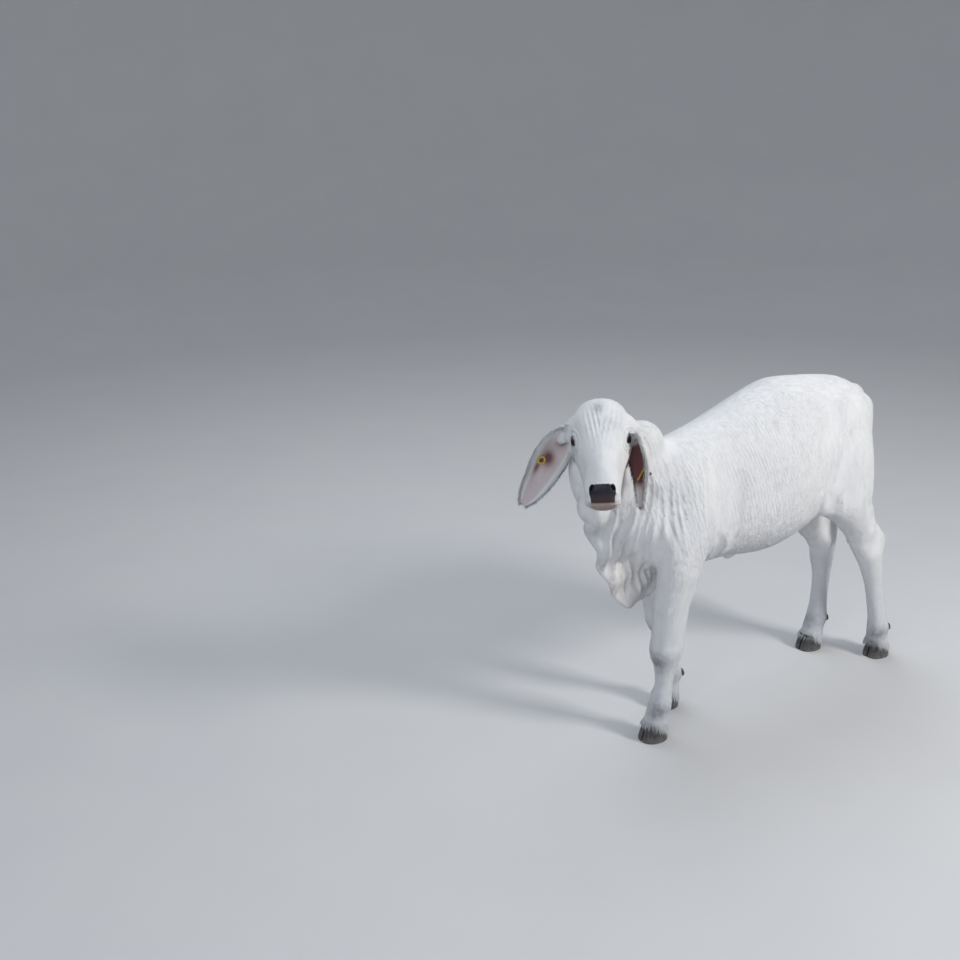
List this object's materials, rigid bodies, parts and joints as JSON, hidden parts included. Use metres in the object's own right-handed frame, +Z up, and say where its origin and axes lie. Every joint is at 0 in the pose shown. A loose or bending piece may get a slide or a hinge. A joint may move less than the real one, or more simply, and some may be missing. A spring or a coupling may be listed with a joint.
{
  "type": "brahman calf",
  "caption": "Life-size still model of a young white Brahman calf standing square, head turned to its left, with drooping ears, small hump, loose dewlap and blank ear tags.",
  "frame": {"origin": "on the floor, under the middle of the bounding box", "axes": "-X the way the body faces, -Y the calf's left side, +Z up"},
  "size_m": [1.22, 0.3092, 0.9068],
  "materials": {
    "coat": "short white hair over loose grey hide",
    "ear_skin": "short white hair outside, bare maroon skin inside",
    "nose": "moist black skin",
    "chin": "thin pale hair over pinkish skin",
    "eye": "wet, very dark",
    "horn": "dull dark hoof horn",
    "switch_hair": "dark hair in locks",
    "tag_yellow": "blank yellow plastic",
    "tag_dark": "dark plastic"
  },
  "bodies": {
    "root": {"barrel": "coat", "chest": "coat", "dewlap": "coat", "ear_left": "ear_skin", "ear_right": "ear_skin", "eye_left": "eye", "eye_right": "eye", "fore_left_cannon": "coat", "fore_left_claw_left": "horn", "fore_left_claw_right": "horn", "fore_left_dewclaw_left": "horn", "fore_left_dewclaw_right": "horn", "fore_left_forearm": "coat", "fore_left_knee": "coat", "fore_left_pastern": "coat", "fore_right_cannon": "coat", "fore_right_claw_left": "horn", "fore_right_claw_right": "horn", "fore_right_dewclaw_left": "horn", "fore_right_dewclaw_right": "horn", "fore_right_forearm": "coat", "fore_right_knee": "coat", "fore_right_pastern": "coat", "head": "coat", "hind_left_cannon": "coat", "hind_left_claw_left": "horn", "hind_left_claw_right": "horn", "hind_left_dewclaw_left": "horn", "hind_left_dewclaw_right": "horn", "hind_left_gaskin": "coat", "hind_left_hock": "coat", "hind_left_pastern": "coat", "hind_right_cannon": "coat", "hind_right_claw_left": "horn", "hind_right_claw_right": "horn", "hind_right_dewclaw_left": "horn", "hind_right_dewclaw_right": "horn", "hind_right_gaskin": "coat", "hind_right_hock": "coat", "hind_right_pastern": "coat", "hump": "coat", "lower_jaw": "chin", "neck": "coat", "nose_pad": "nose", "rump": "coat", "shoulder_left": "coat", "shoulder_right": "coat", "tag_left_plate": "tag_yellow", "tag_left_stud": "tag_dark", "tag_right_button": "tag_yellow", "tag_right_stud": "tag_dark", "tail": "coat", "tail_switch": "switch_hair", "thigh_left": "coat", "thigh_right": "coat"}
  },
  "joints": []
}
